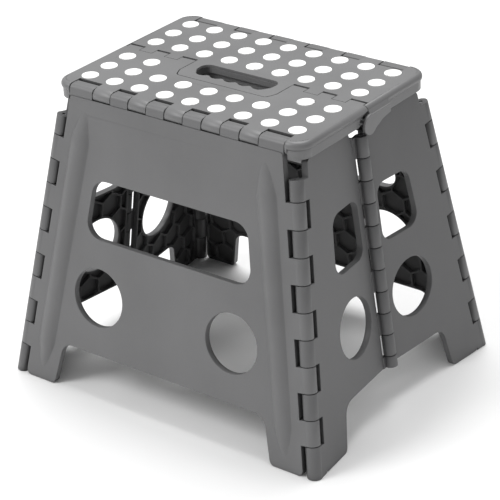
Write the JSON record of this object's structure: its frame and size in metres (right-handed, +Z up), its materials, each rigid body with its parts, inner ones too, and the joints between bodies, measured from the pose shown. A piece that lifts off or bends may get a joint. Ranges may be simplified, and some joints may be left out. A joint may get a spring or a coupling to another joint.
{
  "type": "folding step stool",
  "caption": "Folding plastic step stool with a split tread, two panel legs, hinged side leaves, a handle slot and raised grip dots.",
  "frame": {"origin": "centre of the floor area of the open stool, on the floor", "axes": "+Z up, +X along the wide side of the tread, +Y to the rear panel, whose tread half carries the handle"},
  "size_m": [0.3872, 0.317, 0.3206],
  "materials": {
    "panel_plastic": "satin moulded",
    "tread_plastic": "satin moulded",
    "leaf_plastic": "satin moulded",
    "grip_rubber": "matte",
    "pin_steel": "drawn wire"
  },
  "bodies": {
    "front_panel": {"front_panel": "panel_plastic", "front_tread_pin": "pin_steel", "right_front_pin": "pin_steel", "left_front_pin": "pin_steel"},
    "rear_panel": {"rear_panel": "panel_plastic", "rear_tread_pin": "pin_steel", "right_rear_pin": "pin_steel", "left_rear_pin": "pin_steel"},
    "front_tread": {"front_tread": "tread_plastic", "front_grip_dots": "grip_rubber", "front_tread_grid": "tread_plastic"},
    "rear_tread": {"rear_tread": "tread_plastic", "rear_grip_dots": "grip_rubber", "rear_tread_grid": "tread_plastic", "handle_well": "tread_plastic", "right_centre_pin": "pin_steel", "left_centre_pin": "pin_steel"},
    "right_front_leaf": {"right_front_leaf": "leaf_plastic", "right_side_pin": "pin_steel"},
    "right_rear_leaf": {"right_rear_leaf": "leaf_plastic"},
    "left_front_leaf": {"left_front_leaf": "leaf_plastic", "left_side_pin": "pin_steel"},
    "left_rear_leaf": {"left_rear_leaf": "leaf_plastic"}
  },
  "joints": [
    {"name": "right_front_hinge", "type": "hinge", "parent": "front_panel", "child": "right_front_leaf", "pos_m": [0.1367, -0.10099, 0.31216], "axis": [-0.1541, 0.1561, 0.9756], "range_deg": [0, 85.4]},
    {"name": "right_side_hinge", "type": "hinge", "parent": "right_front_leaf", "child": "right_rear_leaf", "pos_m": [0.13729, 0, 0.31195], "axis": [0.1398, 0, -0.9902], "range_deg": [0, 168.12]},
    {"name": "right_rear_hinge", "type": "hinge", "parent": "right_rear_leaf", "child": "rear_panel", "pos_m": [0.1367, 0.10099, 0.31216], "axis": [-0.1541, -0.1561, 0.9756], "range_deg": [0, 85.4]},
    {"name": "left_front_hinge", "type": "hinge", "parent": "front_panel", "child": "left_front_leaf", "pos_m": [-0.1367, -0.10099, 0.31216], "axis": [-0.1541, -0.1561, -0.9756], "range_deg": [0, 85.4]},
    {"name": "left_rear_hinge", "type": "hinge", "parent": "rear_panel", "child": "left_rear_leaf", "pos_m": [-0.1367, 0.10099, 0.31216], "axis": [0.1541, -0.1561, 0.9756], "range_deg": [0, 85.4]},
    {"name": "front_tread_hinge", "type": "hinge", "parent": "front_panel", "child": "front_tread", "pos_m": [0, -0.1, 0.312], "axis": [1, 0, 0], "range_deg": [0, 80.91]},
    {"name": "rear_tread_hinge", "type": "hinge", "parent": "rear_panel", "child": "rear_tread", "pos_m": [0, 0.1, 0.312], "axis": [-1, 0, 0], "range_deg": [0, 80.91]}
  ],
  "couplings": [
    {"joint": "right_side_hinge", "follows": "right_front_hinge", "ratio": 1.9686},
    {"joint": "right_rear_hinge", "follows": "right_front_hinge", "ratio": 1},
    {"joint": "left_front_hinge", "follows": "right_front_hinge", "ratio": 1},
    {"joint": "left_rear_hinge", "follows": "right_front_hinge", "ratio": 1},
    {"joint": "front_tread_hinge", "follows": "right_front_hinge", "ratio": 0.94742},
    {"joint": "rear_tread_hinge", "follows": "right_front_hinge", "ratio": 0.94742}
  ]
}
